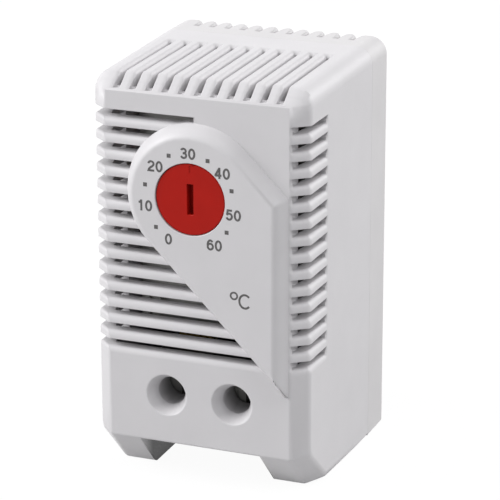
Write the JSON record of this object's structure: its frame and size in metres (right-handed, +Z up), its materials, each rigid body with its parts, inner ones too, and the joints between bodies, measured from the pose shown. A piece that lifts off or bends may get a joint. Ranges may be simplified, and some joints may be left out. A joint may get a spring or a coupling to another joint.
{
  "type": "DIN rail thermostat",
  "caption": "Small upright thermostat for a 35 mm rail: vented two-part case, raised dial plate with a flush setting knob, screw terminals below and a sprung rail clip behind.",
  "frame": {"origin": "middle of the box's underside, level with the bottoms of the two feet", "axes": "+X to the right as seen from the front, +Y back towards the rail, +Z up"},
  "size_m": [0.033, 0.0432, 0.06],
  "materials": {
    "case_grey": "finely textured moulded plastic, pale grey",
    "base_grey": "finely textured moulded plastic, pale warm grey",
    "knob_red": "satin moulded plastic, deep red",
    "latch_black": "satin moulded plastic, near black",
    "block_black": "matt thermoset plastic, near black",
    "plated_steel": "bright zinc-plated steel",
    "spring_steel": "drawn spring wire",
    "plain_iron": "dull soft iron",
    "magnet_black": "sintered ferrite",
    "bimetal": "rolled bimetal sheet",
    "contact_silver": "silver alloy contact",
    "brass": "machined brass"
  },
  "bodies": {
    "case": {"front_cover": "case_grey", "rear_base": "base_grey", "knob_washer": "spring_steel", "spindle_bush": "brass", "mechanism_frame": "plated_steel", "frame_screws": "plated_steel", "lever_pin": "plated_steel", "lever_spring": "spring_steel", "snap_magnet": "magnet_black", "fixed_contact": "contact_silver", "fixed_contact_bar": "brass", "bimetal_bar": "brass", "terminal_block": "block_black"},
    "knob": {"setting_knob": "knob_red"},
    "spindle": {"setting_spindle": "brass"},
    "lever": {"adjusting_lever": "plated_steel"},
    "bimetal": {"bimetal_strip": "bimetal", "strip_rivets": "plated_steel", "moving_contact": "contact_silver", "armature": "plain_iron"},
    "left_screw": {"terminal_screw_left": "plated_steel"},
    "left_cage": {"terminal_cage_left": "plated_steel"},
    "right_screw": {"terminal_screw_right": "plated_steel"},
    "right_cage": {"terminal_cage_right": "plated_steel"},
    "latch": {"rail_latch": "latch_black", "latch_spring": "spring_steel"}
  },
  "joints": [
    {"name": "dial_turn", "type": "hinge", "parent": "case", "child": "knob", "pos_m": [-0.00015, -0.0194, 0.0436], "axis": [0, 1, 0], "range_deg": [-153.2, 153.2]},
    {"name": "spindle_travel", "type": "slide", "parent": "knob", "child": "spindle", "axis": [0, 1, 0], "range_m": [-0.0002125, 0.0002125]},
    {"name": "lever_tilt", "type": "hinge", "parent": "case", "child": "lever", "pos_m": [0, -0.0023, 0.0507], "axis": [1, 0, 0], "range_deg": [-1.75, 1.75]},
    {"name": "contact_close", "type": "hinge", "parent": "lever", "child": "bimetal", "pos_m": [-0.0064, -0.0017, 0.04833], "axis": [1, 0, 0], "range_deg": [0, 1.1], "stiffness_Nm_per_rad": 0.0002},
    {"name": "left_screw_turn", "type": "hinge", "parent": "case", "child": "left_screw", "pos_m": [-0.005, -0.0194, 0.0132], "axis": [0, 1, 0], "range_deg": [0, 1801]},
    {"name": "left_cage_travel", "type": "slide", "parent": "case", "child": "left_cage", "axis": [0, -1, 0], "range_m": [0, 0.0025]},
    {"name": "right_screw_turn", "type": "hinge", "parent": "case", "child": "right_screw", "pos_m": [0.005, -0.0194, 0.0132], "axis": [0, 1, 0], "range_deg": [0, 1801]},
    {"name": "right_cage_travel", "type": "slide", "parent": "case", "child": "right_cage", "axis": [0, -1, 0], "range_m": [0, 0.0025]},
    {"name": "latch_slide", "type": "slide", "parent": "case", "child": "latch", "axis": [0, 0, -1], "range_m": [0, 0.003], "stiffness_N_per_m": 800, "springref_m": -0.004, "deforming": ["latch_spring"]}
  ],
  "couplings": [
    {"joint": "dial_turn", "follows": "spindle_travel", "rad_per_m": 12566},
    {"joint": "lever_tilt", "follows": "spindle_travel", "rad_per_m": 140.85},
    {"joint": "left_screw_turn", "follows": "left_cage_travel", "rad_per_m": 12566},
    {"joint": "right_screw_turn", "follows": "right_cage_travel", "rad_per_m": 12566}
  ]
}
